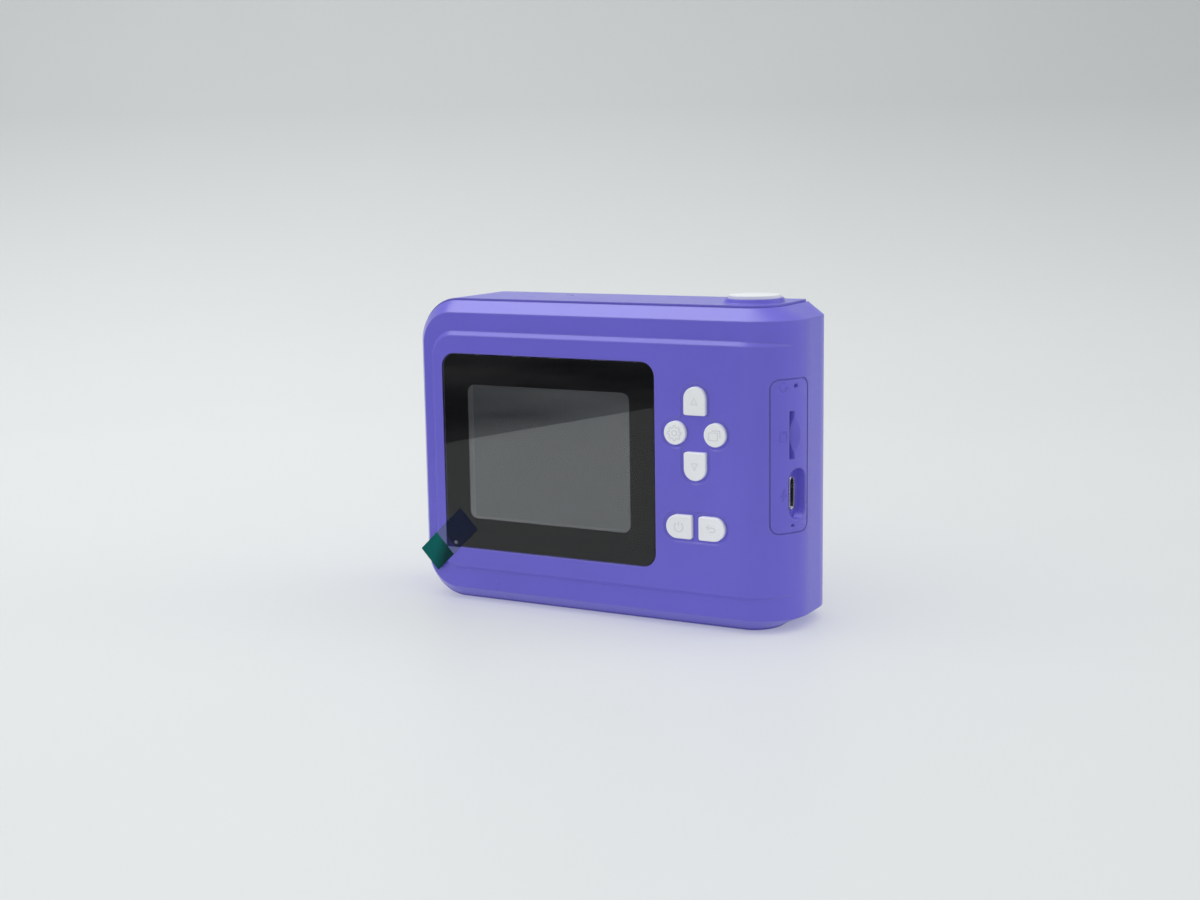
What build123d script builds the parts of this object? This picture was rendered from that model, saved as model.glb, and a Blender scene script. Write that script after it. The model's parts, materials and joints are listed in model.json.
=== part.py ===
from build123d import *
import math
import os

# Kids digital camera: a screen-side shell that wraps round one end, a lens-side shell, and the works between.
# Everything is drawn in the screen's frame: X to the right, Y into the body from the key face, Z up, with the
# origin at the middle of the picture area. The origin moves to the middle of the base at the end.
# All sizes are in millimetres.

# ---- overall body ----
WIDTH = 112.8
DEPTH = 34.6
HEIGHT = 84.95
LEFT = -43.6
BOTTOM = -43.0
RIGHT = LEFT + WIDTH
TOP = BOTTOM + HEIGHT
TIER_STEP = 0.55            # the lens-side shell stands this far above the rim of the screen-side shell
RIM_R = 12.0                # rounding of the left corners, seen from the screen side
BAND_RISE = 3.1             # sloping band round the screen-side face: how far it spreads
BAND_RUN = 4.0              # and how deep it goes
SIDE_RUN = 6.5              # width of the sloping band over the wrapped end
FACE_STEP = 1.0             # the key face stands proud of the border by this much
WRAP_R = 13.5               # vertical corner from the key face to the side
FRONT_R = 12.0              # vertical corner from the side to the lens-side face
TIER_FRONT_R = 6.0
TIER_WRAP_R = 7.5
FRONT_EDGE_R = 4.0
SPLIT_X = RIGHT - 21.2      # left of this the body is prismatic along X, right of it the end wraps round
SEAM_PAST_CORNER = 0.3      # the two shells part on the side just past the rounded corner
WALL = 2.0
FACE_WALL = 1.6
GROOVE = 0.5
GROOVE_DEPTH = 0.8

RIM_TOP = TOP - TIER_STEP
RIM_BOTTOM = BOTTOM + TIER_STEP
FACE_TOP = RIM_TOP - BAND_RISE
FACE_BOTTOM = RIM_BOTTOM + BAND_RISE
RIM_Y = FACE_STEP + BAND_RUN
SEAM_Y = FACE_STEP + WRAP_R + SEAM_PAST_CORNER
TIER_RIGHT = RIGHT - SIDE_RUN
WRAP_X = RIGHT - WRAP_R
INNER_FACE = FACE_STEP + FACE_WALL

# ---- raised key face ----
PLATEAU_LEFT = LEFT + 6.9
PLATEAU_TOP = FACE_TOP - 6.2
PLATEAU_BOTTOM = FACE_BOTTOM + 6.45
PLATEAU_R = 6.0
LEDGE_RISE = 1.1            # the edge of the raised face slopes out by this much over FACE_STEP
PLATEAU_SHIFT = 0.5         # its corner starts this much earlier, so the step fades out round the end
LEDGE_OVERRUN = 1.5         # the slope runs on below the border, so that the two cross cleanly

# ---- screen ----
WINDOW_W, WINDOW_H, WINDOW_R = 66.0, 54.8, 4.0
WINDOW_X, WINDOW_Z = -1.05, -0.25
WINDOW_T = 1.2
WINDOW_GAP = 0.08
MASK_T = 0.15
MASK_W, MASK_H, MASK_R = 50.4, 37.6, 2.2
PANEL_W, PANEL_H, PANEL_T = 58.6, 41.2, 1.2
TRAY_W, TRAY_H, TRAY_T = 60.3, 42.8, 2.6
TRAY_GAP = 0.3
PANEL_GAP = 0.2
WINDOW_BEVEL = 0.15
SCREEN_Y = WINDOW_T + MASK_T

# ---- keys ----
PAD_X, PAD_Z = 43.72, 9.03
PAD_ARM_X, PAD_ARM_Z = 5.7, 8.55
PAIR_Z = -15.68
PAIR_ARM = 4.68
KEY_W, KEY_L = 6.25, 7.4
KEY_D = 6.15
KEY_PROUD = 0.75
KEY_GAP = 0.15
KEY_FLANGE, KEY_FLANGE_T = 0.7, 0.7
KEY_CORNER_R = 0.6
KEY_EDGE_R = 0.3
KEY_TRAVEL = 0.35
KEY_POST_R = 1.5
MOAT = 1.1                  # width of the sunk border round the keys
MOAT_DEPTH = 0.4
MOAT_SLOPE = 0.3

# ---- main board, its switches and sockets ----
BOARD_Y, BOARD_T = 8.6, 1.0
BOARD_LEFT, BOARD_RIGHT, BOARD_HALF_H = LEFT + 11.6, RIGHT - 7.2, 29.0
BOARD_CORNER_R = 1.5
SWITCH_W, SWITCH_T, SWITCH_BEVEL = 4.5, 1.5, 0.4
STEM_R, STEM_PROUD, STEM_SINK = 0.9, 0.6, 0.4
STEM_HOLE_R = 1.05
USB_W, USB_H, USB_LONG, USB_WALL = 8.94, 3.2, 7.3, 0.3
USB_Y, USB_Z = BOARD_Y + 1.05, -6.4
USB_SINK = 0.96             # the charging socket's mouth is this far behind the nearest skin of the corner
USB_GAP = 0.15
USB_BACK_T = 1.0
PORT_W, PORT_L, PORT_SINK, PORT_WALL = 5.9, 13.4, 0.2, 1.0
PORT_PAD = 1.8              # the wall is thickened behind the charging socket's recess by this much
CARD_W, CARD_T, CARD_WALL = 12.3, 1.7, 0.35
CARD_BEHIND = 0.33          # the card socket starts this far past the switch under the mode key
CARD_Z, CARD_SLOT_H = 9.0, 12.5
CARD_SINK = 2.06
SCOOP_R, SCOOP_REACH = 11.0, 1.9
SCOOP_FLOOR, SCOOP_RIM = 3.0, 0.6
RESET_Z, MIC_Z = 21.6, -14.6
RESET_Y, MIC_Y = BOARD_Y + 0.3, BOARD_Y - 0.6
RESET_X, RESET_LONG, RESET_W, RESET_T = RIGHT - 11.2, 4.0, 4.4, 2.0
RESET_PIN_R, RESET_PIN_LONG = 0.7, 0.8
MIC_X, MIC_R, MIC_T, MIC_BORE_R, MIC_BORE = RIGHT - 10.7, 2.0, 1.5, 0.5, 0.5
TONGUE_T, TONGUE_W, TONGUE_SINK = 0.7, 6.4, 0.6
RESET_HOLE_R, MIC_HOLE_R = 0.7, 0.55
PANEL_Z, PORT_PANEL_H, PORT_PANEL_W, PORT_PANEL_R = 3.55, 40.3, 12.6, 2.6
PORT_PANEL_ANGLE = 31.0     # how far round the corner the middle of the port panel is, from the side face
ENGRAVE_W, ENGRAVE_DEPTH = 0.4, 0.35

# ---- shutter ----
SHUTTER_R, SHUTTER_PROUD, SHUTTER_TRAVEL = 6.95, 1.1, 0.8
SHUTTER_END = 10.05         # from the rim of the button to the outside of the wrapped end
SHUTTER_X, SHUTTER_Y = RIGHT - SHUTTER_END - SHUTTER_R, DEPTH - 16.0
SHUTTER_DOME = 0.35
SHUTTER_GAP = 0.15
SHUTTER_FLANGE_T, SHUTTER_STALK_R = 0.8, 2.0
COLLAR_R, COLLAR_TOP_R, COLLAR_H = SHUTTER_R + 1.35, SHUTTER_R + 0.8, 1.05
SHUTTER_BOARD_Z, SHUTTER_BOARD_T, SHUTTER_BOARD_W = TOP - 11.35, 1.0, 12.0
SHUTTER_BOSS_OUT, SHUTTER_BOSS_R = SHUTTER_R + 2.85, 1.7
SHUTTER_BOARD_REACH = SHUTTER_BOSS_OUT + 2.2
SHUTTER_SWITCH_W, SHUTTER_SWITCH_T, SHUTTER_SWITCH_BEVEL = 6.0, 3.4, 0.5
SHUTTER_STEM_R, SHUTTER_STEM_PROUD = 1.7, 1.2

# ---- lens, flash and speaker on the lens side ----
LENS_X, LENS_Z = 4.0, 4.0
RING_R, RING_PROUD, RING_SINK, RING_SPIGOT_R = 20.0, 3.6, 0.4, 9.0
RING_EDGE_R = 1.2
RING_SHELL = 0.9            # how much wider the funnel's spigot is than its small end
GLASS_R, GLASS_T, GLASS_SINK, GLASS_GAP = 12.2, 1.1, 0.3, 0.05
GLASS_SEAT = DEPTH + RING_PROUD - GLASS_SINK - GLASS_T
BARREL_R, BARREL_BORE_R, BARREL_FRONT = 5.2, 3.2, DEPTH - 3.4
BARREL_SEAT, THREAD_GAP = 0.2, 0.02
ELEMENT_R, ELEMENT_T, ELEMENT_DOME = 3.9, 1.5, 0.5
HOLDER_W, HOLDER_T, HOLDER_WALL, HOLDER_CORNER_R = 2 * BARREL_R + 2.0, 5.4, 1.2, 1.0
SENSOR_BOARD_W, SENSOR_BOARD_T, SENSOR_BOARD_CORNER_R = 22.0, 1.0, 2.0
SENSOR_BOARD_Y = DEPTH - 14.6
SENSOR_BOSS_R, SENSOR_BOSS_IN = 1.8, 2.0
SENSOR_W, SENSOR_H, SENSOR_T, SENSOR_ROOM = 6.4, 5.12, 0.7, 0.5
FLASH_X, FLASH_Z, FLASH_R, FLASH_BEVEL = -25.0, 26.0, 3.6, 0.3
FLASH_FLANGE, FLASH_FLANGE_T = 0.9, 0.9
FLASH_BOARD_W, FLASH_BOARD_H, FLASH_BOARD_CORNER_R = 14.4, 8.0, 1.5
FLASH_BOARD_Y, FLASH_BOARD_T = DEPTH - 6.0, 1.0
FLASH_POST_X, FLASH_POST_R = 5.9, 1.2
LAMP_W, LAMP_H, LAMP_T, LAMP_CORNER_R = 3.5, 2.8, 0.8, 0.3
SPEAKER_X, SPEAKER_Z, SPEAKER_R, SPEAKER_T = -25.0, -18.0, 10.0, 4.0
SPEAKER_RIM_W, SPEAKER_RIM_T, SPEAKER_CONE_SINK, SPEAKER_BACK_IN = 1.6, 1.6, 0.8, 3.0
SPEAKER_FOAM_T = 0.8
PEN_GAP, PEN_WALL, PEN_T = 0.2, 1.2, 3.6
GRILLE_R, GRILLE_PITCH = 0.8, 3.2

# ---- screws ----
BOSS_LEFT, BOSS_TOP, BOSS_LOW = LEFT + 7.4, FACE_TOP - 6.7, FACE_BOTTOM + 6.15
HOUSING_BOSSES = [
    (BOSS_LEFT, BOSS_TOP), (BOSS_LEFT, BOSS_LOW), (36.5, BOSS_TOP + 2.0), (WRAP_X + 0.3, BOSS_LOW - 0.4)]
BOARD_BOSS_LEFT, BOARD_BOSS_RIGHT, BOARD_BOSS_Z = BOARD_LEFT + 3.5, 30.0, BOARD_HALF_H - 2.2
BOARD_BOSSES = [(x, z) for x in (BOARD_BOSS_LEFT, BOARD_BOSS_RIGHT) for z in (BOARD_BOSS_Z, -BOARD_BOSS_Z)]
BOSS_R, BOARD_BOSS_R = 3.0, 2.4
BOSS_MEET_Y = 16.0
SCREW_R, SCREW_HEAD_R, SCREW_HEAD_T = 1.2, 2.1, 1.4
SCREW_RECESS_R = 2.5
SCREW_RECESS = 5.0
SCREW_GRIP = 3.4
SCREW_LONG = DEPTH - SCREW_RECESS - BOSS_MEET_Y + SCREW_GRIP
SCREW_HOLE_GAP = 0.15
BOARD_SCREW_R, BOARD_SCREW_HEAD_R, BOARD_SCREW_HEAD_T, BOARD_SCREW_LONG = 0.9, 1.6, 0.9, 5.0
SCREW_BITE = 0.03

# ---- battery, film and small trim ----
BATTERY_X, BATTERY_Z, BATTERY_W, BATTERY_H, BATTERY_T = -13.0, -4.0, 32.0, 38.0, 6.0
BATTERY_EDGE_R = 2.6
PLUG_X, PLUG_Z, PLUG_UP = 13.0, -23.0, 4.5
PLUG_LONG, PLUG_T, PLUG_W = 6.0, 2.0, 5.0
LEAD_R, LEAD_PITCH, LEAD_DROP, LEAD_RUN, LEAD_BEND_R = 0.6, 1.6, 12.0, 3.5, 2.0
CAMERA_PLUG_X, CAMERA_PLUG_W, CAMERA_PLUG_H, CAMERA_PLUG_T = 22.0, 3.5, 10.0, 1.2
RIBBON_Y, RIBBON_DROP, RIBBON_W, RIBBON_BEND_R, RIBBON_OFF_BOARD = 3.2, 3.2, 32.0, 1.0, 0.6
RIBBON_PLUG_W, RIBBON_PLUG_H, RIBBON_PLUG_T = 18.0, 4.0, 1.2
CAMERA_RIBBON_W, CAMERA_RIBBON_OUT, CAMERA_RIBBON_BEND_R = 8.0, 4.0, 1.5
# Small parts on the lens side of the board: left, low, width, height, thickness.
BATTERY_SOCKET = (12.0, -26.0, 8.0, 6.0, 4.5)
COIL = (26.0, -14.0, 4.0, 4.0, 2.0)
CRYSTAL = (33.0, 20.0, 3.2, 2.5, 0.8)
PROCESSOR = (34.0, -4.0, 13.0, 13.0, 1.2)
MEMORY = (34.0, 12.0, 8.0, 6.0, 1.0)
CHIP_BEVEL = 0.2
CAPACITOR_ROWS, CAPACITOR_COLUMNS = 4, 3
CAPACITOR_X, CAPACITOR_Z = 38.0, -20.0
CAPACITOR_STEP_X, CAPACITOR_STEP_Z = 4.0, 3.0
CAPACITOR_W, CAPACITOR_H, CAPACITOR_T = 1.6, 0.8, 0.8
FILM_X, FILM_Z, FILM_L, FILM_W, FILM_T = -33.2, -25.6, 18.6, 8.0, 0.12
FILM_ANGLE = 43.5
TAB_SHARE = 0.40            # the far end of the strip is the coloured pull tab
FLEX_T = 0.2

# ---- how pieces are cut and joined ----
PAST = 1.0                  # cutters run past the faces that they cut
MELT = 0.2                  # posts start this far inside the wall that they grow from
ROOT = 0.5                  # the same for the posts of the lens-side shell
SLIP = 0.1                  # clearance round what drops into a hole
REST_GAP = 0.05             # between a key's flange and the wall that it rests against
INTO = (0, 1, 0)


def on_face(y, sketch):
    """Puts a sketch drawn as seen from the screen side at depth y."""
    return Plane(origin=(0, y, 0), x_dir=(1, 0, 0), z_dir=(0, -1, 0)) * sketch


def slab(sketch, y0, y1):
    """A plate with the outline of the sketch from depth y0 to y1."""
    return extrude(on_face(y0, sketch), amount=y1 - y0, dir=INTO)


def post(x, z, radius, y0, y1):
    """A round bar along the depth."""
    return slab(Pos(x, z) * Circle(radius), y0, y1)


def block(x0, x1, y0, y1, z0, z1):
    """A box between two corners."""
    middle = Pos((x0 + x1) / 2, (y0 + y1) / 2, (z0 + z1) / 2)
    return middle * Box(x1 - x0, y1 - y0, z1 - z0)


def corner_x(y):
    """How far out the skin of the wrapped corner is at depth y."""
    return WRAP_X + math.sqrt(WRAP_R ** 2 - (FACE_STEP + WRAP_R - y) ** 2)


def upright(x, y, radius, z0, z1):
    """A round bar standing up."""
    return Pos(x, y, z0) * Cylinder(radius, z1 - z0, align=(Align.CENTER, Align.CENTER, Align.MIN))


def left_rounded(left, right, bottom, top, radius):
    """A rectangle, seen from the screen side, with its two left corners rounded."""
    plain = Pos((left + right) / 2, (bottom + top) / 2) * Rectangle(right - left, top - bottom)
    return fillet(plain.vertices().group_by(Axis.X)[0], radius)


def wrap_plan(z, near, side, wrap, front, corner, start=SPLIT_X):
    """The plan of the wrapped end at height z: near edge, rounded corner, side, front corner, front edge."""
    front_x = side - corner
    near_line = Line((start, near), (side - wrap[0], near))
    near_arc = EllipticalCenterArc((side - wrap[0], near + wrap[1]), wrap[0], wrap[1], -90, arc_size=90)
    side_line = Line((side, near + wrap[1]), (side, front - corner))
    front_arc = CenterArc((front_x, front - corner), corner, 0, 90)
    front_line = Line((front_x, front), (start, front))
    back_line = Line((start, front), (start, near))
    return Pos(0, 0, z) * make_face([near_line, near_arc, side_line, front_arc, front_line, back_line])


USB_MOUTH_X = corner_x(USB_Y - USB_H / 2) - USB_SINK
CARD_MOUTH_X = corner_x(BOARD_Y - CARD_T) - CARD_SINK


# ---- outer shapes ----

def rim_plan(z, inset=0.0, start=SPLIT_X):
    """Plan of the inner edge of the sloping band at the wrapped end, where the two shells meet."""
    side = TIER_RIGHT - inset
    near = RIM_Y + inset
    wrap = (TIER_WRAP_R - inset, WRAP_R + FACE_STEP - RIM_Y - inset)
    return wrap_plan(z, near, side, wrap, DEPTH, TIER_FRONT_R, start)


def edge_plan(z):
    """Plan of the outer edge of the wrapped end."""
    return wrap_plan(z, FACE_STEP, RIGHT, (WRAP_R, WRAP_R), DEPTH, FRONT_R)


def wrapped_block(bottom, top, rise, outer_plan, inner_plan):
    """The wrapped end: an upright wall between two heights with a slope in over its top and its bottom."""
    wall = extrude(outer_plan(bottom), amount=top - bottom)
    over = loft([outer_plan(top), inner_plan(top + rise)], ruled=True)
    under = loft([inner_plan(bottom - rise), outer_plan(bottom)], ruled=True)
    return wall + over + under


def sloped_slab(left, bottom, top, radius, rise, y0, run, y1):
    """A left-rounded slab whose face at y0 is smaller all round by rise, reached over a depth of run."""
    small = left_rounded(left + rise, SPLIT_X, bottom + rise, top - rise, radius - rise)
    large = left_rounded(left, SPLIT_X, bottom, top, radius)
    slope = loft([on_face(y0, small), on_face(y0 + run, large)], ruled=True)
    return slope + slab(large, y0 + run, y1)


def plateau():
    """The raised key face, which runs round the corner and fades out there."""
    rise, run = LEDGE_RISE * LEDGE_OVERRUN, FACE_STEP * LEDGE_OVERRUN
    side = RIGHT - PLATEAU_SHIFT
    back = SEAM_Y

    def outer(z):
        return wrap_plan(z, 0, side, (WRAP_R, WRAP_R), back, FACE_STEP)

    def inner(z):
        return wrap_plan(z, run, side - run, (WRAP_R - run, WRAP_R - run), back, FACE_STEP)

    end = wrapped_block(PLATEAU_BOTTOM, PLATEAU_TOP, rise, outer, inner)
    flat = sloped_slab(
        PLATEAU_LEFT - rise, PLATEAU_BOTTOM - rise, PLATEAU_TOP + rise, PLATEAU_R + rise, rise,
        0, run, INNER_FACE + PAST)
    return end + flat


def outer_shape():
    """The whole outside below the level of the lens-side tier."""
    end = wrapped_block(FACE_BOTTOM, FACE_TOP, BAND_RISE, edge_plan, rim_plan)
    flat = sloped_slab(LEFT, RIM_BOTTOM, RIM_TOP, RIM_R, BAND_RISE, FACE_STEP, BAND_RUN, DEPTH)
    return end + flat + plateau()


def rim_prism(inset):
    """Everything on the lens side of the line where the two shells meet."""
    return extrude(rim_plan(BOTTOM - PAST, inset, LEFT - PAST), amount=HEIGHT + 2 * PAST)


def beyond_seam():
    """Everything on the lens side of the seam in the side wall."""
    return block(LEFT - PAST, RIGHT + PAST, SEAM_Y, DEPTH + PAST, BOTTOM - PAST, TOP + PAST)


def works_cavity():
    """The hollow behind the key face, which follows the wrapped end."""
    wrap = (WRAP_R - WALL, WRAP_R + FACE_STEP - INNER_FACE)
    low, high = FACE_BOTTOM + WALL, FACE_TOP - WALL
    plan = wrap_plan(low, INNER_FACE, RIGHT - WALL, wrap, DEPTH - WALL, FRONT_R - WALL, LEFT - PAST)
    left = left_rounded(LEFT + BAND_RISE + WALL, RIGHT, low, high, RIM_R - BAND_RISE - WALL)
    return extrude(plan, amount=high - low) & slab(left, INNER_FACE, DEPTH)


# ---- screen-side shell ----

def dome_key(grow=0.0):
    """The outline of a key with one round end, which points up."""
    radius = KEY_W / 2 + grow
    foot = -KEY_L / 2 - grow
    shoulder = KEY_L / 2 + grow - radius
    square = Pos(0, (foot + shoulder) / 2) * Rectangle(2 * radius, shoulder - foot)
    square = fillet(square.vertices().group_by(Axis.Y)[0], KEY_CORNER_R)
    return square + Pos(0, shoulder) * Circle(radius)


def round_key(grow=0.0):
    """The outline of a round key."""
    return Sketch() + Circle(KEY_D / 2 + grow)


KEYS = {
    "up": (PAD_X, PAD_Z + PAD_ARM_Z, 0, dome_key),
    "down": (PAD_X, PAD_Z - PAD_ARM_Z, 180, dome_key),
    "settings": (PAD_X - PAD_ARM_X, PAD_Z, 0, round_key),
    "mode": (PAD_X + PAD_ARM_X, PAD_Z, 0, round_key),
    "power": (PAD_X - PAIR_ARM, PAIR_Z, 90, dome_key),
    "return": (PAD_X + PAIR_ARM, PAIR_Z, -90, dome_key),
}


def key_outline(name, grow=0.0):
    """A key's outline in place, grown all round."""
    x, z, turn, outline = KEYS[name]
    return Pos(x, z) * Rot(0, 0, turn) * outline(grow)


def moat_outline(grow=0.0):
    """The sunk borders round the two groups of keys."""
    long = 2 * PAD_ARM_Z + KEY_L + 2 * grow
    pair = 2 * PAIR_ARM + KEY_L + 2 * grow
    upright_slot = Pos(PAD_X, PAD_Z) * Rot(0, 0, 90) * SlotOverall(long, KEY_W + 2 * grow)
    sides = key_outline("settings", grow) + key_outline("mode", grow)
    return [upright_slot + sides, Pos(PAD_X, PAIR_Z) * SlotOverall(pair, KEY_W + 2 * grow)]


def moats():
    """Cutters for the sunk borders, with sloping edges."""
    cuts = []
    for wide in moat_outline(MOAT):
        prism = slab(wide, -PAST, MOAT_DEPTH)
        floor = prism.faces().sort_by(Axis.Y)[-1]
        cuts.append(chamfer(floor.edges(), MOAT_SLOPE))
    return cuts


def side_cut(sketch, x0, x1):
    """A cutter through the side wall: the sketch is drawn as seen from the right, Y across and Z up."""
    plane = Plane(origin=(x0, 0, 0), x_dir=(0, 1, 0), z_dir=(1, 0, 0))
    return extrude(plane * sketch, amount=x1 - x0)


def port_panel_line():
    """The line engraved round the sockets, of even depth on the curved corner."""
    turn = math.radians(PORT_PANEL_ANGLE)
    middle = (WRAP_X, FACE_STEP + WRAP_R, PANEL_Z)
    along, outward = (math.sin(turn), math.cos(turn), 0), (math.cos(turn), -math.sin(turn), 0)
    plane = Plane(origin=middle, x_dir=along, z_dir=outward)
    outline = RectangleRounded(PORT_PANEL_W, PORT_PANEL_H, PORT_PANEL_R)
    inner = RectangleRounded(
        PORT_PANEL_W - 2 * ENGRAVE_W, PORT_PANEL_H - 2 * ENGRAVE_W, PORT_PANEL_R - ENGRAVE_W)
    ring = extrude(plane * (outline - inner), amount=2 * WRAP_R)
    core = upright(WRAP_X, FACE_STEP + WRAP_R, WRAP_R - ENGRAVE_DEPTH, BOTTOM, TOP)
    proud_core = upright(WRAP_X - PLATEAU_SHIFT, WRAP_R, WRAP_R - ENGRAVE_DEPTH, BOTTOM, TOP)
    return ring - core - proud_core


def card_scoop():
    """The fingernail scoop beside the card slot."""
    floor_x, rim_x = RIGHT - SCOOP_FLOOR, RIGHT - SCOOP_RIM
    length = math.hypot(rim_x - floor_x, SCOOP_REACH)
    along = ((rim_x - floor_x) / length, SCOOP_REACH / length)
    middle = (floor_x + SCOOP_R * along[1], BOARD_Y - SCOOP_R * along[0])
    plane = Plane(origin=(middle[0], middle[1], CARD_Z), x_dir=(0, 0, 1), z_dir=(along[0], along[1], 0))
    disc = extrude(plane * Circle(SCOOP_R), amount=2 * length, both=True)
    near, far = BOARD_Y - CARD_T / 4, BOARD_Y + 2 * SCOOP_REACH
    return disc & block(floor_x - PAST, RIGHT + PAST, near, far, CARD_Z - CARD_SLOT_H, CARD_Z + CARD_SLOT_H)


def socket_outline(width, height):
    """A socket's mouth with fully rounded ends, tall way up."""
    return Rot(0, 0, 90) * SlotOverall(width, height)


def port_cuts():
    """Every hole through the wrapped corner."""
    floor = USB_MOUTH_X - PORT_SINK
    recess = Pos(USB_Y, USB_Z) * socket_outline(PORT_L, PORT_W)
    mouth = Pos(USB_Y, USB_Z) * socket_outline(USB_W + 2 * USB_GAP, USB_H + 2 * USB_GAP)
    slot = Pos(BOARD_Y - CARD_T / 2, CARD_Z) * Rectangle(CARD_T, CARD_SLOT_H)
    reset = Pos(RESET_Y, RESET_Z) * Circle(RESET_HOLE_R)
    mic = Pos(MIC_Y, MIC_Z) * Circle(MIC_HOLE_R)
    inside, outside = RIGHT - WRAP_R / 2, RIGHT + PAST
    cuts = side_cut(recess, floor, outside) + card_scoop()
    for hole in (mouth, slot, reset, mic):
        cuts += side_cut(hole, inside, outside)
    return cuts


def back_housing(outer):
    """The screen-side shell, with its window pocket, key holes, sockets and screw posts."""
    half_w, half_l = PORT_W / 2 + PORT_WALL, PORT_L / 2 + PORT_WALL
    pad = outer & block(
        USB_MOUTH_X - PORT_PAD, RIGHT, USB_Y - half_w, USB_Y + half_w, USB_Z - half_l, USB_Z + half_l)
    shell = outer - works_cavity() + pad
    for x, z in BOARD_BOSSES:
        shell += post(x, z, BOARD_BOSS_R, INNER_FACE - MELT, BOARD_Y)
    for x, z in HOUSING_BOSSES:
        shell += post(x, z, BOSS_R, INNER_FACE - MELT, BOSS_MEET_Y)
    shell -= rim_prism(0) - works_cavity()
    shell -= beyond_seam() - works_cavity()
    shell -= slab(Pos(WINDOW_X, WINDOW_Z) * RectangleRounded(WINDOW_W, WINDOW_H, WINDOW_R), -PAST, SCREEN_Y)
    shell -= slab(Rectangle(TRAY_W + 2 * TRAY_GAP, TRAY_H + 2 * TRAY_GAP), 0, INNER_FACE + PAST)
    for cut in moats():
        shell -= cut
    for name in KEYS:
        shell -= slab(key_outline(name, KEY_GAP), -PAST, INNER_FACE + PAST)
    for x, z in BOARD_BOSSES:
        shell -= post(x, z, BOARD_SCREW_R - SCREW_BITE, INNER_FACE + PAST, BOARD_Y + PAST)
    for x, z in HOUSING_BOSSES:
        shell -= post(x, z, SCREW_R - SCREW_BITE, INNER_FACE + PAST, BOSS_MEET_Y + PAST)
    return shell - port_panel_line() - port_cuts()


# ---- lens-side shell ----

def grille_spots():
    """Speaker holes: a middle one and two rings of them."""
    spots = [(0.0, 0.0)]
    for ring in (1, 2):
        for step in range(6 * ring):
            angle = math.tau * step / (6 * ring)
            spots.append((ring * GRILLE_PITCH * math.cos(angle), ring * GRILLE_PITCH * math.sin(angle)))
    return [(SPEAKER_X + x, SPEAKER_Z + z) for x, z in spots]


def shutter_boss_spots():
    """The two posts that the shutter's board hangs from."""
    return [(SHUTTER_X, SHUTTER_Y - SHUTTER_BOSS_OUT), (SHUTTER_X, SHUTTER_Y + SHUTTER_BOSS_OUT)]


def sensor_boss_spots():
    """The two posts that the sensor board is screwed to."""
    reach = SENSOR_BOARD_W / 2 - SENSOR_BOSS_IN
    return [(LENS_X - reach, LENS_Z + reach), (LENS_X + reach, LENS_Z - reach)]


def front_blank(outer):
    """The outside of the lens-side shell: the tier, the far part of the side wall, and the groove between."""
    tier = slab(left_rounded(LEFT, RIGHT + RIM_R, BOTTOM, TOP, RIM_R), RIM_Y, DEPTH)
    face = tier.faces().sort_by(Axis.Y)[-1]
    tier = fillet(face.edges().filter_by(lambda edge: edge.center().X < RIGHT + RIM_R - PAST), FRONT_EDGE_R)
    tier = tier & rim_prism(0)
    low, high = RIM_BOTTOM + GROOVE_DEPTH, RIM_TOP - GROOVE_DEPTH
    kept = left_rounded(LEFT + GROOVE_DEPTH, RIGHT + RIM_R, low, high, RIM_R - GROOVE_DEPTH)
    kept = slab(kept, 0, DEPTH + PAST)
    tier -= rim_prism(0) - rim_prism(GROOVE) - kept
    side = outer & block(TIER_RIGHT - PAST, RIGHT + PAST, SEAM_Y, DEPTH + PAST, BOTTOM, TOP)
    return tier + (side - rim_prism(0))


def front_housing(outer):
    """The lens-side shell, with the lens opening, grille, shutter collar and inner posts."""
    inner = DEPTH - WALL
    roof = TOP - WALL
    shell = front_blank(outer)
    lens_cavity = left_rounded(LEFT + WALL, TIER_RIGHT - WALL, BOTTOM + WALL, TOP - WALL, RIM_R - WALL)
    shell -= slab(lens_cavity, RIM_Y - PAST, inner)
    shell -= works_cavity()
    collar = Pos(SHUTTER_X, SHUTTER_Y, TOP - MELT) * Cone(
        COLLAR_R, COLLAR_TOP_R, COLLAR_H + MELT, align=(Align.CENTER, Align.CENTER, Align.MIN))
    shell += collar
    for x, z in HOUSING_BOSSES:
        shell += post(x, z, BOSS_R, BOSS_MEET_Y, inner + ROOT)
    for x, z in sensor_boss_spots():
        shell += post(x, z, SENSOR_BOSS_R, SENSOR_BOARD_Y + SENSOR_BOARD_T, inner + ROOT)
    flash_seat = FLASH_BOARD_Y + FLASH_BOARD_T
    for side in (-1, 1):
        shell += post(FLASH_X + side * FLASH_POST_X, FLASH_Z, FLASH_POST_R, flash_seat, inner + ROOT)
    for x, y in shutter_boss_spots():
        shell += upright(x, y, SHUTTER_BOSS_R, SHUTTER_BOARD_Z + SHUTTER_BOARD_T, roof + ROOT)
    pen_r = SPEAKER_R + PEN_GAP
    pen = slab(Circle(pen_r + PEN_WALL) - Circle(pen_r), inner - PEN_T, inner + ROOT)
    shell += Pos(SPEAKER_X, 0, SPEAKER_Z) * pen
    shell -= upright(SHUTTER_X, SHUTTER_Y, SHUTTER_R + SHUTTER_GAP, roof - PAST, TOP + COLLAR_H + PAST)
    shell -= post(LENS_X, LENS_Z, RING_R + SLIP, DEPTH - RING_SINK, DEPTH + PAST)
    shell -= post(LENS_X, LENS_Z, RING_SPIGOT_R + SLIP, inner - PAST, DEPTH + PAST)
    shell -= post(FLASH_X, FLASH_Z, FLASH_R + SLIP, inner - PAST, DEPTH + PAST)
    for x, z in grille_spots():
        shell -= post(x, z, GRILLE_R, inner - PAST, DEPTH + PAST)
    return shell - screw_holes()


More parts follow.
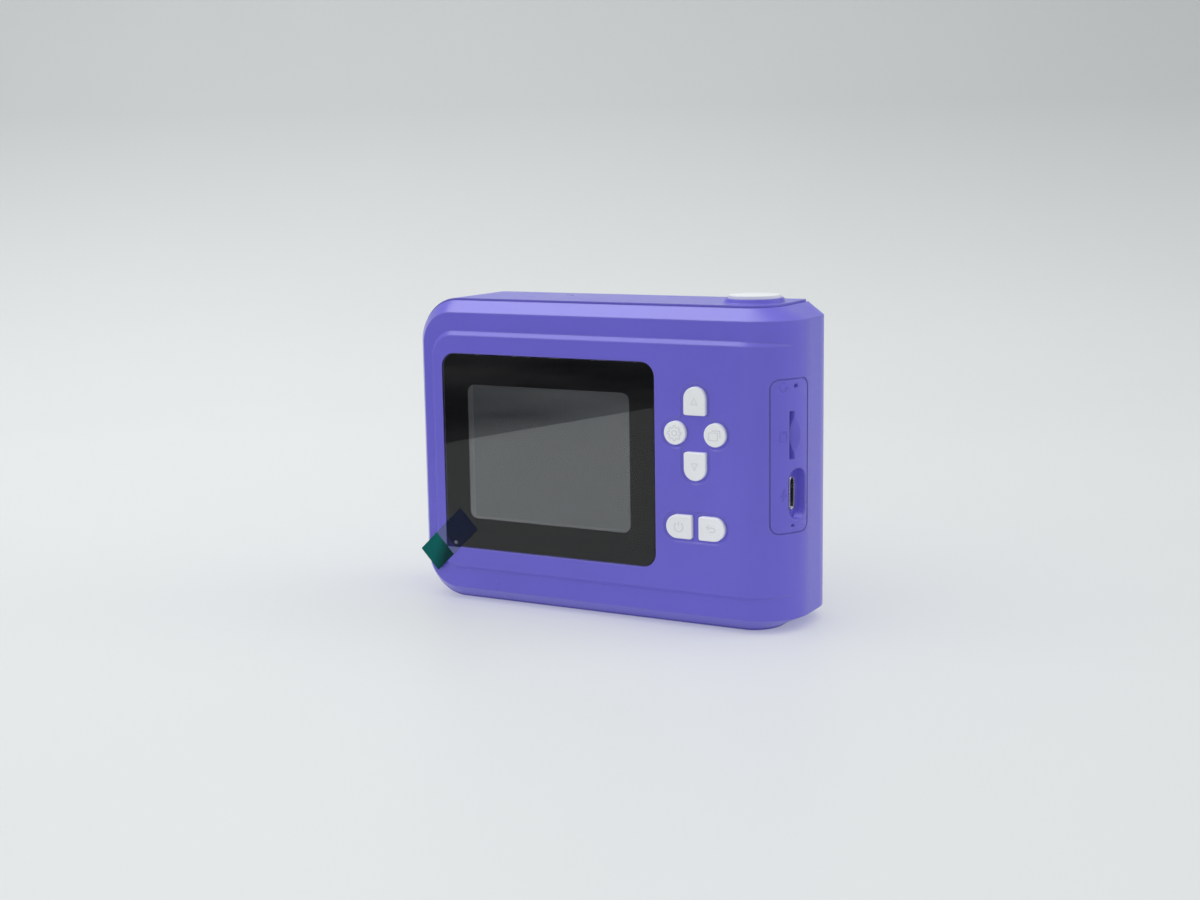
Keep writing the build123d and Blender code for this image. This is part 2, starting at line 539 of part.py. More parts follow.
def screw_holes():
    """The recesses, clearance holes and pilot holes of the lens-side shell."""
    pilot = BOARD_SCREW_R - SCREW_BITE
    deep = BOARD_SCREW_LONG + PAST
    holes = []
    for x, z in HOUSING_BOSSES:
        holes.append(post(x, z, SCREW_RECESS_R, DEPTH - SCREW_RECESS, DEPTH + PAST))
        holes.append(post(x, z, SCREW_R + SCREW_HOLE_GAP, BOSS_MEET_Y - PAST, DEPTH))
    holes += [post(x, z, pilot, SENSOR_BOARD_Y, SENSOR_BOARD_Y + deep) for x, z in sensor_boss_spots()]
    holes += [upright(x, y, pilot, SHUTTER_BOARD_Z, SHUTTER_BOARD_Z + deep) for x, y in shutter_boss_spots()]
    return holes


# ---- screen ----

def screen_parts():
    """The window, the black print behind it, the picture panel, its tray and its ribbon."""
    window = slab(Pos(WINDOW_X, WINDOW_Z) * RectangleRounded(
        WINDOW_W - 2 * WINDOW_GAP, WINDOW_H - 2 * WINDOW_GAP, WINDOW_R - WINDOW_GAP), 0, WINDOW_T)
    window = chamfer(window.faces().sort_by(Axis.Y)[0].edges(), WINDOW_BEVEL)
    border = Pos(WINDOW_X, WINDOW_Z) * RectangleRounded(
        WINDOW_W - 4 * WINDOW_GAP, WINDOW_H - 4 * WINDOW_GAP, WINDOW_R - 2 * WINDOW_GAP)
    opening = Pos(WINDOW_X, WINDOW_Z) * RectangleRounded(MASK_W, MASK_H, MASK_R)
    mask = slab(border - opening, WINDOW_T, SCREEN_Y)
    panel = slab(Rectangle(PANEL_W, PANEL_H), SCREEN_Y, SCREEN_Y + PANEL_T)
    tray = slab(Rectangle(TRAY_W, TRAY_H), SCREEN_Y, SCREEN_Y + TRAY_T)
    tray -= slab(Rectangle(PANEL_W + 2 * PANEL_GAP, PANEL_H + 2 * PANEL_GAP), 0, SCREEN_Y + PANEL_T)
    return {
        "screen_window": window,
        "screen_mask": mask,
        "lcd_panel": panel,
        "lcd_tray": tray,
        "lcd_ribbon": lcd_ribbon(),
    }


def lcd_ribbon():
    """The flat cable that folds from under the tray to its plug on the board."""
    start = -TRAY_H / 2
    low, far = start - RIBBON_DROP, BOARD_Y - RIBBON_OFF_BOARD
    path = FilletPolyline((RIBBON_Y, start), (RIBBON_Y, low), (far, low), (far, start), radius=RIBBON_BEND_R)
    return extrude(Plane.YZ * trace(path, FLEX_T), amount=RIBBON_W / 2, both=True)


def film_parts():
    """The strip of protective film left on the window's corner, and the pull tab that is its far end."""
    def strip(x0, x1):
        flat = Pos((x0 + x1) / 2, 0) * Rectangle(x1 - x0, FILM_W)
        return slab(Pos(FILM_X, FILM_Z) * Rot(0, 0, FILM_ANGLE) * flat, -FILM_T, 0)

    tab_end = -FILM_L / 2 + TAB_SHARE * FILM_L
    return {"screen_film": strip(tab_end, FILM_L / 2), "film_tab": strip(-FILM_L / 2, tab_end)}


# ---- keys and their switches ----

def key_parts():
    """Each key with its flange and post, and the stem of the switch under it, which moves with it."""
    parts = {}
    flange_y = INNER_FACE + REST_GAP
    stem_y = BOARD_Y - SWITCH_T - STEM_PROUD
    for name, (x, z, _, _) in KEYS.items():
        cap = slab(key_outline(name), -KEY_PROUD, flange_y)
        cap = fillet(cap.faces().sort_by(Axis.Y)[0].edges(), KEY_EDGE_R)
        flange = slab(key_outline(name, KEY_FLANGE), flange_y, flange_y + KEY_FLANGE_T)
        parts[name + "_key"] = cap + flange + post(x, z, KEY_POST_R, flange_y, stem_y)
        parts[name + "_switch_stem"] = post(x, z, STEM_R, stem_y, BOARD_Y - SWITCH_T + STEM_SINK)
    return parts


def key_switches():
    """The bodies of the six switches under the keys."""
    switches = []
    for x, z, _, _ in KEYS.values():
        half = SWITCH_W / 2
        body = block(x - half, x + half, BOARD_Y - SWITCH_T, BOARD_Y, z - half, z + half)
        body = chamfer(body.edges().filter_by(Axis.Y), SWITCH_BEVEL)
        depth = STEM_SINK + KEY_TRAVEL + SLIP
        switches.append(body - post(x, z, STEM_HOLE_R, 0, BOARD_Y - SWITCH_T + depth))
    return Compound(switches)


def domed_disc(radius, height, dome):
    """A disc standing on the XY plane whose top is a shallow part of a sphere."""
    sphere_r = (radius ** 2 + dome ** 2) / (2 * dome)
    half = math.asin(radius / sphere_r) / 2
    corner, tip = (radius, 0, height - dome), (0, 0, height)
    bulge = (sphere_r * math.sin(half), 0, height - sphere_r * (1 - math.cos(half)))
    profile = make_face([
        Line((0, 0, 0), (radius, 0, 0)), Line((radius, 0, 0), corner),
        ThreePointArc(corner, bulge, tip), Line(tip, (0, 0, 0))])
    return revolve(profile, axis=Axis.Z)


def shutter_block(half_w, half_d, z0, z1):
    """A box centred under the shutter button."""
    return block(SHUTTER_X - half_w, SHUTTER_X + half_w, SHUTTER_Y - half_d, SHUTTER_Y + half_d, z0, z1)


def shutter_parts():
    """The shutter button, its switch and stem, and the small board that they sit on."""
    roof = TOP - WALL
    top = TOP + SHUTTER_PROUD + COLLAR_H
    flange_top = roof - REST_GAP
    flange_low = flange_top - SHUTTER_FLANGE_T
    board_top = SHUTTER_BOARD_Z + SHUTTER_BOARD_T
    switch_top = board_top + SHUTTER_SWITCH_T
    stem_top = switch_top + SHUTTER_STEM_PROUD
    cap = Pos(SHUTTER_X, SHUTTER_Y, flange_low) * domed_disc(SHUTTER_R, top - flange_low, SHUTTER_DOME)
    flange = upright(SHUTTER_X, SHUTTER_Y, SHUTTER_R + KEY_FLANGE, flange_low, flange_top)
    stalk = upright(SHUTTER_X, SHUTTER_Y, SHUTTER_STALK_R, stem_top, flange_low)
    stem = upright(SHUTTER_X, SHUTTER_Y, SHUTTER_STEM_R, switch_top - STEM_SINK, stem_top)
    switch = shutter_block(SHUTTER_SWITCH_W / 2, SHUTTER_SWITCH_W / 2, board_top, switch_top)
    switch = chamfer(switch.edges().filter_by(Axis.Z), SHUTTER_SWITCH_BEVEL)
    switch -= upright(SHUTTER_X, SHUTTER_Y, SHUTTER_STEM_R + SLIP,
                      switch_top - STEM_SINK - SHUTTER_TRAVEL - SLIP, switch_top + PAST)
    board = shutter_block(SHUTTER_BOARD_W / 2, SHUTTER_BOARD_REACH, SHUTTER_BOARD_Z, board_top)
    for x, y in shutter_boss_spots():
        board -= upright(x, y, BOARD_SCREW_R + SLIP, SHUTTER_BOARD_Z - PAST, board_top + PAST)
    return {
        "shutter_button": cap + flange + stalk,
        "shutter_switch_stem": stem,
        "shutter_switch": switch,
        "shutter_board": board,
    }


# ---- main board and what is on it ----

def main_board():
    """The circuit board, notched round the socket and the reset switch that sit in its edge."""
    board = block(BOARD_LEFT, BOARD_RIGHT, BOARD_Y, BOARD_Y + BOARD_T, -BOARD_HALF_H, BOARD_HALF_H)
    board = fillet(board.edges().filter_by(Axis.Y), BOARD_CORNER_R)
    for back, middle, width in ((USB_MOUTH_X - USB_LONG, USB_Z, USB_W), (RESET_X, RESET_Z, RESET_W)):
        half = width / 2 + SLIP
        board -= block(back - SLIP, BOARD_RIGHT + PAST, 0, DEPTH, middle - half, middle + half)
    for x, z in BOARD_BOSSES:
        board -= post(x, z, BOARD_SCREW_R + SLIP, 0, DEPTH)
    return board


def sockets():
    """The charging socket and its tongue, the card socket, the reset switch and the microphone."""
    back = USB_MOUTH_X - USB_LONG
    at = Pos(USB_Y, USB_Z)
    shell = side_cut(at * socket_outline(USB_W, USB_H), back, USB_MOUTH_X)
    hollow = at * socket_outline(USB_W - 2 * USB_WALL, USB_H - 2 * USB_WALL)
    shell -= side_cut(hollow, back + USB_BACK_T, USB_MOUTH_X + PAST)
    tongue = side_cut(at * Rectangle(TONGUE_T, TONGUE_W), back + USB_BACK_T, USB_MOUTH_X - TONGUE_SINK)
    pin_x = RESET_X + RESET_LONG
    reset = block(RESET_X, pin_x, RESET_Y - RESET_T / 2, RESET_Y + RESET_T / 2,
                  RESET_Z - RESET_W / 2, RESET_Z + RESET_W / 2)
    reset += side_cut(Pos(RESET_Y, RESET_Z) * Circle(RESET_PIN_R), pin_x, pin_x + RESET_PIN_LONG)
    mic_front = BOARD_Y - MIC_T
    mic = post(MIC_X, MIC_Z, MIC_R, mic_front, BOARD_Y)
    mic -= post(MIC_X, MIC_Z, MIC_BORE_R, mic_front - PAST, mic_front + MIC_BORE)
    return {
        "usb_shell": shell,
        "usb_tongue": tongue,
        "card_socket": card_socket(),
        "reset_switch": reset,
        "microphone": mic,
    }


def card_socket():
    """The memory card's socket on the key side of the board, open at the slot."""
    back = PAD_X + PAD_ARM_X + SWITCH_W / 2 + CARD_BEHIND
    low, high = CARD_Z - CARD_W / 2, CARD_Z + CARD_W / 2
    case = block(back, CARD_MOUTH_X, BOARD_Y - CARD_T, BOARD_Y, low, high)
    near, far = BOARD_Y - CARD_T + CARD_WALL, BOARD_Y - CARD_WALL
    return case - block(back + CARD_WALL, CARD_MOUTH_X + PAST, near, far, low + CARD_WALL, high - CARD_WALL)


def on_board(left, low, width, height, thickness):
    """A small part soldered to the lens side of the main board."""
    front = BOARD_Y + BOARD_T
    return block(left, left + width, front, front + thickness, low, low + height)


def board_components():
    """Connectors, coil, crystal and capacitors: separate small pieces soldered to the main board."""
    plug_low = LENS_Z - CAMERA_PLUG_H / 2
    ribbon_low = -TRAY_H / 2
    half = RIBBON_PLUG_W / 2
    pieces = [
        block(-half, half, BOARD_Y - RIBBON_PLUG_T, BOARD_Y, ribbon_low, ribbon_low + RIBBON_PLUG_H),
        on_board(CAMERA_PLUG_X, plug_low, CAMERA_PLUG_W, CAMERA_PLUG_H, CAMERA_PLUG_T),
        on_board(*BATTERY_SOCKET),
        on_board(*COIL),
        on_board(*CRYSTAL),
    ]
    for row in range(CAPACITOR_ROWS):
        for column in range(CAPACITOR_COLUMNS):
            x, z = CAPACITOR_X + CAPACITOR_STEP_X * column, CAPACITOR_Z + CAPACITOR_STEP_Z * row
            pieces.append(on_board(x, z, CAPACITOR_W, CAPACITOR_H, CAPACITOR_T))
    return Compound(pieces)


def chips():
    """The picture processor and the memory chip, with small bevels round their tops."""
    def chip(sizes):
        return chamfer(on_board(*sizes).faces().sort_by(Axis.Y)[-1].edges(), CHIP_BEVEL)

    return {"processor_chip": chip(PROCESSOR), "memory_chip": chip(MEMORY)}


def battery_parts():
    """The pouch cell on the lens side of the board, its plug and the two leads between them."""
    front = BOARD_Y + BOARD_T
    left, right = BATTERY_X - BATTERY_W / 2, BATTERY_X + BATTERY_W / 2
    low, high = BATTERY_Z - BATTERY_H / 2, BATTERY_Z + BATTERY_H / 2
    cell = block(left, right, front, front + BATTERY_T, low, high)
    cell = fillet(cell.edges().filter_by(Axis.Z), BATTERY_EDGE_R)
    plug_y, plug_low = front + PLUG_UP, PLUG_Z - PLUG_W / 2
    plug = block(PLUG_X, PLUG_X + PLUG_LONG, plug_y, plug_y + PLUG_T, plug_low, plug_low + PLUG_W)
    leads = [battery_lead(right, front + BATTERY_T / 2, side * LEAD_PITCH / 2) for side in (-1, 1)]
    return {"battery_cell": cell, "battery_plug": plug, "battery_leads": Compound(leads)}


def battery_lead(start_x, start_y, offset):
    """One insulated wire from the cell's edge to the plug, on straight runs joined by arcs."""
    leave_z, enter_z = BATTERY_Z - LEAD_DROP + offset, PLUG_Z + offset
    enter_y = BOARD_Y + BOARD_T + PLUG_UP + PLUG_T / 2
    points = [(start_x, start_y, leave_z), (start_x + LEAD_RUN, start_y, leave_z),
              (PLUG_X - LEAD_RUN, enter_y, enter_z), (PLUG_X, enter_y, enter_z)]
    path = FilletPolyline(*points, radius=LEAD_BEND_R)
    section = Plane(origin=points[0], z_dir=(1, 0, 0)) * Circle(LEAD_R)
    return sweep(section, path=path).solid()


# ---- camera, flash and speaker ----

def camera_parts():
    """From the picture sensor out to the decorative ring on the lens side."""
    back = SENSOR_BOARD_Y + SENSOR_BOARD_T
    half = SENSOR_BOARD_W / 2
    board = block(LENS_X - half, LENS_X + half, SENSOR_BOARD_Y, back, LENS_Z - half, LENS_Z + half)
    board = fillet(board.edges().filter_by(Axis.Y), SENSOR_BOARD_CORNER_R)
    for x, z in sensor_boss_spots():
        board -= post(x, z, BOARD_SCREW_R + SLIP, 0, DEPTH)
    sensor = slab(Pos(LENS_X, LENS_Z) * Rectangle(SENSOR_W, SENSOR_H), back, back + SENSOR_T)
    room = SENSOR_W + 2 * SENSOR_ROOM
    at = Pos(LENS_X, LENS_Z)
    holder = slab(at * RectangleRounded(HOLDER_W, HOLDER_W, HOLDER_CORNER_R), back, back + HOLDER_T)
    holder -= slab(at * Rectangle(room, room), back - PAST, back + HOLDER_WALL)
    holder -= post(LENS_X, LENS_Z, BARREL_R + THREAD_GAP, back + HOLDER_WALL, DEPTH)
    holder -= post(LENS_X, LENS_Z, BARREL_BORE_R, back - PAST, DEPTH)
    barrel = post(LENS_X, LENS_Z, BARREL_R, back + HOLDER_WALL + BARREL_SEAT, BARREL_FRONT)
    barrel -= post(LENS_X, LENS_Z, BARREL_BORE_R, 0, DEPTH)
    barrel -= post(LENS_X, LENS_Z, ELEMENT_R + THREAD_GAP, BARREL_FRONT - ELEMENT_T, DEPTH)
    element = Pos(LENS_X, BARREL_FRONT - ELEMENT_T, LENS_Z) * Rot(-90, 0, 0) * domed_disc(
        ELEMENT_R, ELEMENT_T + ELEMENT_DOME, ELEMENT_DOME)
    return {
        "sensor_board": board,
        "image_sensor": sensor,
        "lens_holder": holder,
        "lens_barrel": barrel,
        "lens_element": element,
        "lens_ring": lens_ring(),
        "lens_window": post(LENS_X, LENS_Z, GLASS_R, GLASS_SEAT, GLASS_SEAT + GLASS_T),
        "camera_ribbon": camera_ribbon(),
    }


def lens_ring():
    """The round trim ring, with a funnel behind its clear window and a spigot into the shell."""
    inner = DEPTH - WALL
    front = DEPTH + RING_PROUD
    ring = post(LENS_X, LENS_Z, RING_R, DEPTH - RING_SINK, front)
    ring = fillet(ring.edges().filter_by(GeomType.CIRCLE).sort_by(Axis.Y)[-1], RING_EDGE_R)
    ring += post(LENS_X, LENS_Z, RING_SPIGOT_R, inner, DEPTH)
    funnel = Pos(LENS_X, (inner + GLASS_SEAT) / 2, LENS_Z) * Rot(-90, 0, 0) * Cone(
        RING_SPIGOT_R - 2 * RING_SHELL, GLASS_R - RING_SHELL, GLASS_SEAT - inner)
    ring -= funnel
    return ring - post(LENS_X, LENS_Z, GLASS_R + GLASS_GAP, GLASS_SEAT, front + PAST)


def camera_ribbon():
    """The flat cable from the sensor board to its plug on the main board."""
    start = LENS_X + SENSOR_BOARD_W / 2
    out = start + CAMERA_RIBBON_OUT
    level = BOARD_Y + BOARD_T + CAMERA_PLUG_T / 2
    middle = SENSOR_BOARD_Y + SENSOR_BOARD_T / 2
    path = FilletPolyline(
        (start, middle), (out, middle), (out, level), (CAMERA_PLUG_X, level), radius=CAMERA_RIBBON_BEND_R)
    return Pos(0, 0, LENS_Z) * extrude(trace(path, FLEX_T), amount=CAMERA_RIBBON_W / 2, both=True)


def flash_parts():
    """The flash lamp on its little board, and the frosted window in front of it."""
    inner = DEPTH - WALL
    window = post(FLASH_X, FLASH_Z, FLASH_R, inner - FLASH_FLANGE_T / 2, DEPTH)
    window = chamfer(window.edges().filter_by(GeomType.CIRCLE).sort_by(Axis.Y)[-1], FLASH_BEVEL)
    window += post(FLASH_X, FLASH_Z, FLASH_R + FLASH_FLANGE, inner - FLASH_FLANGE_T, inner)
    board_top = FLASH_BOARD_Y + FLASH_BOARD_T
    at = Pos(FLASH_X, FLASH_Z)
    outline = RectangleRounded(FLASH_BOARD_W, FLASH_BOARD_H, FLASH_BOARD_CORNER_R)
    board = slab(at * outline, FLASH_BOARD_Y, board_top)
    lamp = slab(at * RectangleRounded(LAMP_W, LAMP_H, LAMP_CORNER_R), board_top, board_top + LAMP_T)
    return {"flash_window": window, "flash_board": board, "flash_lamp": lamp}


def speaker_parts():
    """The speaker in its ring behind the grille, and its foam gasket."""
    def round_part(radius, y0, y1):
        return post(SPEAKER_X, SPEAKER_Z, radius, y0, y1)

    inner = DEPTH - WALL
    front = inner - SPEAKER_FOAM_T
    hollow_r = SPEAKER_R - SPEAKER_RIM_W
    rim_back = front - SPEAKER_RIM_T
    foam = round_part(SPEAKER_R, front, inner) - round_part(hollow_r, front - PAST, inner + PAST)
    body = round_part(SPEAKER_R, rim_back, front)
    body -= round_part(hollow_r, front - SPEAKER_CONE_SINK, front + PAST)
    body += round_part(SPEAKER_R - SPEAKER_BACK_IN, front - SPEAKER_T, rim_back)
    return {"speaker": body, "speaker_foam": foam}


# ---- screws ----

def screw(radius, head_r, head_t, long):
    """A pan-head screw with a cross recess: its head is above the origin and its shank below, along Z."""
    head = Cylinder(head_r, head_t, align=(Align.CENTER, Align.CENTER, Align.MIN))
    head = fillet(head.edges().filter_by(GeomType.CIRCLE).sort_by(Axis.Z)[-1], 0.4 * head_t)
    shank = Cylinder(radius, long, align=(Align.CENTER, Align.CENTER, Align.MAX))
    shank = chamfer(shank.edges().filter_by(GeomType.CIRCLE).sort_by(Axis.Z)[0], 0.4 * radius)
    slot = Pos(0, 0, head_t) * Box(1.2 * head_r, 0.3 * head_r, head_t)
    return head + shank - slot - Rot(0, 0, 90) * slot


def screw_groups():
    """The four case screws, and the small screws that hold the boards."""
    case_screw = Rot(-90, 0, 0) * screw(SCREW_R, SCREW_HEAD_R, SCREW_HEAD_T, SCREW_LONG)
    board_screw = screw(BOARD_SCREW_R, BOARD_SCREW_HEAD_R, BOARD_SCREW_HEAD_T, BOARD_SCREW_LONG)
    head_y = DEPTH - SCREW_RECESS
    case = [Pos(x, head_y, z) * case_screw for x, z in HOUSING_BOSSES]
    small = [Pos(x, BOARD_Y + BOARD_T, z) * Rot(-90, 0, 0) * board_screw for x, z in BOARD_BOSSES]
    small += [Pos(x, SENSOR_BOARD_Y, z) * Rot(90, 0, 0) * board_screw for x, z in sensor_boss_spots()]
    small += [Pos(x, y, SHUTTER_BOARD_Z) * Rot(180, 0, 0) * board_screw for x, y in shutter_boss_spots()]
    return {"case_screws": Compound(case), "board_screws": Compound(small)}


def build():
    """Every node of the camera, by name."""
    outer = outer_shape()
    parts = {"back_housing": back_housing(outer), "front_housing": front_housing(outer)}
    groups = [screen_parts, film_parts, key_parts, shutter_parts, sockets, chips, battery_parts, camera_parts,
              flash_parts, speaker_parts, screw_groups]
    for group in groups:
        parts.update(group())
    parts["key_switches"] = key_switches()
    parts["main_board"] = main_board()
    parts["board_components"] = board_components()
    return parts


base_centre = Pos(-(LEFT + RIGHT) / 2, -DEPTH / 2, -BOTTOM)
os.makedirs("parts", exist_ok=True)
for node, shape in build().items():
    export_step(base_centre * shape, f"parts/{node}.step")
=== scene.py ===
import json
import math

import bmesh
import bpy
from mathutils import Matrix, Vector


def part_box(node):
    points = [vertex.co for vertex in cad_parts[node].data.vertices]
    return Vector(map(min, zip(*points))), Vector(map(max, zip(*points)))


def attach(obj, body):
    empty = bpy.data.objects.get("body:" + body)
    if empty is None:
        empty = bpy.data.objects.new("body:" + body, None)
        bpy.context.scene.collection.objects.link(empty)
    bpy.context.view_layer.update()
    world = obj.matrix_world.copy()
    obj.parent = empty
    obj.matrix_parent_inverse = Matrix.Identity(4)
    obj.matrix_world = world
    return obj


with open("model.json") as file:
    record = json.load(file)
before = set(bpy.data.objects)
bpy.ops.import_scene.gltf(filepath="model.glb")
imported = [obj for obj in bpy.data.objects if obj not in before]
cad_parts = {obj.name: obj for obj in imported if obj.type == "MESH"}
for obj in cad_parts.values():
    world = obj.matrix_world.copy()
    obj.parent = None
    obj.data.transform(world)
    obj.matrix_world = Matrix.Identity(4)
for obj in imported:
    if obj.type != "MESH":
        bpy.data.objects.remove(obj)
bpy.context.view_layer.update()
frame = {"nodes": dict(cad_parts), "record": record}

MM = 0.001

# ---- the photograph's camera ----

CAMERA_AT = (0.22271, -0.4189, 0.12181)
CAMERA_YAW = 28.7
CAMERA_PITCH = 9.4
CAMERA_ROLL = -0.89
LENS_MM = 52.35
SENSOR_MM = 36.0
CLIP_START = 0.01

# ---- the white sweep behind the object ----

SWEEP_START = 0.42
SWEEP_RADIUS = 0.40
SWEEP_HEIGHT = 1.6
SWEEP_HALF_WIDTH = 2.6
FLOOR_FRONT = -3.0
SWEEP_STEPS = 24
SWEEP_SHADE_HEIGHT = 0.16    # painted shade: the paper is greyer above this height

# ---- light ----

SKY = (0.735, 0.75, 0.76)
SKY_STRENGTH = 1.1
SOFTBOX_AT = (-0.42, 0.10, 1.0)
SOFTBOX_SIZE = (0.9, 0.7)
SOFTBOX_WATTS = 5.5
SKY_BACK_RIGHT = 1.9         # the sky is this much brighter behind and to the right
SKY_FRONT_RIGHT = -0.55      # and this much dimmer in front and to the right

# ---- embossed marks ----

STROKE_R = 0.19 * MM
STROKE_RISE = 0.10 * MM
STROKE_ROUNDNESS = 3
ARC_STEPS = 24

# ---- symbols beside the sockets ----

MARK_Y = -11.9 * MM
MARK_FORESHORTEN = 0.75      # the wall turns away there, so a symbol is laid out this much narrower
RAY_START = 10 * MM


# ================ materials ================

NOISE_LOW, NOISE_HIGH = 0.3, 0.7    # most of a noise's values lie between these
RIM_LEVEL, FLAT_LEVEL = 0.93, 0.995  # how well the rounded and the plain normal agree on a rim and on a flat
BEVEL_SAMPLES = 4
ACTIVE_HALF_W, ACTIVE_HALF_H = 24.48 * MM, 18.36 * MM   # half of the display's picture area
ACTIVE_EDGE = 0.05 * MM
FILM_EDGE = 0.15 * MM               # the film changes from dark to milky over this much
FILM_ALPHA = 0.55
TAB_LEAN = 0.35                     # how far the tab's painted shade leans with height
# where the tab's painted shade begins and becomes full, either side of its middle
TAB_LIT_TO, TAB_SHADED_FROM = 0.8 * MM, 3.2 * MM
CALM_BUMP_SCALE, CALM_BUMP, CALM_BUMP_STRENGTH = 60, 0.002 * MM, 0.15

class Graph:
    """One material's nodes, round a Principled shader and the object's own coordinates."""

    def __init__(self, name, sockets):
        self.material = bpy.data.materials.new(name)
        self.material.use_nodes = True
        self.tree = self.material.node_tree
        self.shader = self.tree.nodes["Principled BSDF"]
        for socket, value in sockets.items():
            self.shader.inputs[socket].default_value = value
        self.place = self.add("ShaderNodeTexCoord").outputs["Object"]

    def add(self, kind, inputs=None, **settings):
        """Adds a node; inputs holds each socket's value or the socket that feeds it."""
        node = self.tree.nodes.new(kind)
        for key, value in settings.items():
            setattr(node, key, value)
        for key, value in (inputs or {}).items():
            self.feed(node.inputs[key], value)
        return node

    def feed(self, socket, value):
        """Links a socket to another, or sets its value."""
        if isinstance(value, bpy.types.NodeSocket):
            self.tree.links.new(value, socket)
        else:
            socket.default_value = value

    def set(self, socket, value):
        """Feeds one of the shader's sockets."""
        self.feed(self.shader.inputs[socket], value)

    def noise(self, scale, detail=2.0, stretch=(1, 1, 1)):
        """Noise over the object, scale in cells a metre."""
        spot = self.add("ShaderNodeMapping", {"Vector": self.place, "Scale": stretch}).outputs[0]
        return self.add("ShaderNodeTexNoise", {"Vector": spot, "Scale": scale, "Detail": detail}).outputs[0]

    def cells(self, scale):
        """Distance to the nearest of scattered points."""
        return self.add("ShaderNodeTexVoronoi", {"Vector": self.place, "Scale": scale}).outputs["Distance"]

    def remap(self, value, low, high, to_low, to_high):
        """Maps low..high onto to_low..to_high, clamped."""
        inputs = {"Value": value, "From Min": low, "From Max": high, "To Min": to_low, "To Max": to_high}
        return self.add("ShaderNodeMapRange", inputs).outputs[0]

    def spread(self, noise, to_low, to_high):
        """Maps the middle part of a noise onto to_low..to_high."""
        return self.remap(noise, NOISE_LOW, NOISE_HIGH, to_low, to_high)

    def math(self, operation, a, b=0.0):
        """A scalar sum, product or comparison."""
        return self.add("ShaderNodeMath", {0: a, 1: b}, operation=operation).outputs[0]

    def mix(self, share, a, b):
        """A colour between a and b."""
        node = self.add("ShaderNodeMix", {0: share, 6: a, 7: b}, data_type="RGBA")
        return node.outputs[2]

    def axis(self, name):
        """One coordinate of the place, in metres."""
        return self.add("ShaderNodeSeparateXYZ", {0: self.place}).outputs[name]

    def edges(self, radius):
        """(rounded normal, a share that is 1 on sharp edges and 0 on flats)."""
        rounded = self.add("ShaderNodeBevel", {"Radius": radius}, samples=BEVEL_SAMPLES).outputs[0]
        normal = self.add("ShaderNodeNewGeometry").outputs["Normal"]
        level = self.add("ShaderNodeVectorMath", {0: rounded, 1: normal}, operation="DOT_PRODUCT")
        return rounded, self.remap(level.outputs["Value"], RIM_LEVEL, FLAT_LEVEL, 1.0, 0.0)

    def bump(self, height, distance, strength=1.0, normal=None):
        """Feeds the shader a normal from a height, over another normal if there is one."""
        node = self.add("ShaderNodeBump", {"Height": height, "Distance": distance, "Strength": strength})
        if normal is not None:
            self.tree.links.new(normal, node.inputs["Normal"])
        self.set("Normal", node.outputs[0])


def tint(colour, factor):
    """A colour made lighter or darker, with full alpha."""
    return (*[min(1.0, c * factor) for c in colour[:3]], 1.0)


def toward(colour, other, share):
    """A colour part of the way to another, with full alpha."""
    return (*[a + (b - a) * share for a, b in zip(colour[:3], other[:3])], 1.0)


def moulded(name, colour, roughness, grain=7000, height=0.012, edge=0.25, edge_wear_and_highlight=0.12, **extra):
    """Moulded plastic: fine grain, slow shifts of tone and gloss, faint rubs, paler edges that are partly
    wear and partly a painted highlight.
    """
    sockets = {"IOR": 1.47, "Roughness": roughness}
    sockets.update({key.replace("_", " "): value for key, value in extra.items()})
    g = Graph(name, sockets)
    drift = g.noise(45, 3)
    blotch = g.noise(420, 2)
    tone = g.mix(g.spread(drift, 0.0, 1.0), tint(colour, 0.965), tint(colour, 1.035))
    tone = g.mix(g.remap(blotch, 0.35, 0.65, 0.0, 0.10), tone, tint(colour, 0.88))
    rounded, rim = g.edges(edge * MM)
    # Edges turn paler: partly wear, partly a painted edge highlight.
    tone = g.mix(g.math("MULTIPLY", rim, edge_wear_and_highlight), tone, toward(colour, (1, 1, 1), 0.45))
    g.set("Base Color", tone)
    rubs = g.noise(260, 5, (1.0, 1.0, 9.0))
    rub = g.remap(rubs, 0.56, 0.70, 0.0, 0.07)
    gloss = g.spread(drift, roughness - 0.03, roughness + 0.03)
    g.set("Roughness", g.math("ADD", g.math("ADD", gloss, rub), g.math("MULTIPLY", rim, 0.06)))
    fine = g.math("ADD", g.noise(grain, 2), g.math("MULTIPLY", g.noise(grain / 9, 2), 1.4))
    g.bump(fine, height * MM, 0.5, rounded)
    return g.material


def metal(name, colour, roughness, brush=(1, 14, 14), scale=900, height=0.006):
    """Pressed or plated metal with drawn lines, dull spots and bright edges."""
    g = Graph(name, {"Metallic": 1.0, "Anisotropic": 0.25})
    lines = g.noise(scale, 4, brush)
    spots = g.remap(g.noise(160, 3), 0.5, 0.72, 0.0, 1.0)
    rounded, rim = g.edges(0.12 * MM)
    tone = g.mix(g.spread(lines, 0.0, 1.0), tint(colour, 0.86), tint(colour, 1.08))
    tone = g.mix(g.math("MULTIPLY", spots, 0.3), tone, tint(colour, 0.7))
    g.set("Base Color", g.mix(g.math("MULTIPLY", rim, 0.5), tone, tint(colour, 1.25)))
    rough = g.spread(lines, roughness - 0.07, roughness + 0.08)
    g.set("Roughness", g.math("ADD", rough, g.math("MULTIPLY", spots, 0.12)))
    g.bump(lines, height * MM, 0.6, rounded)
    return g.material


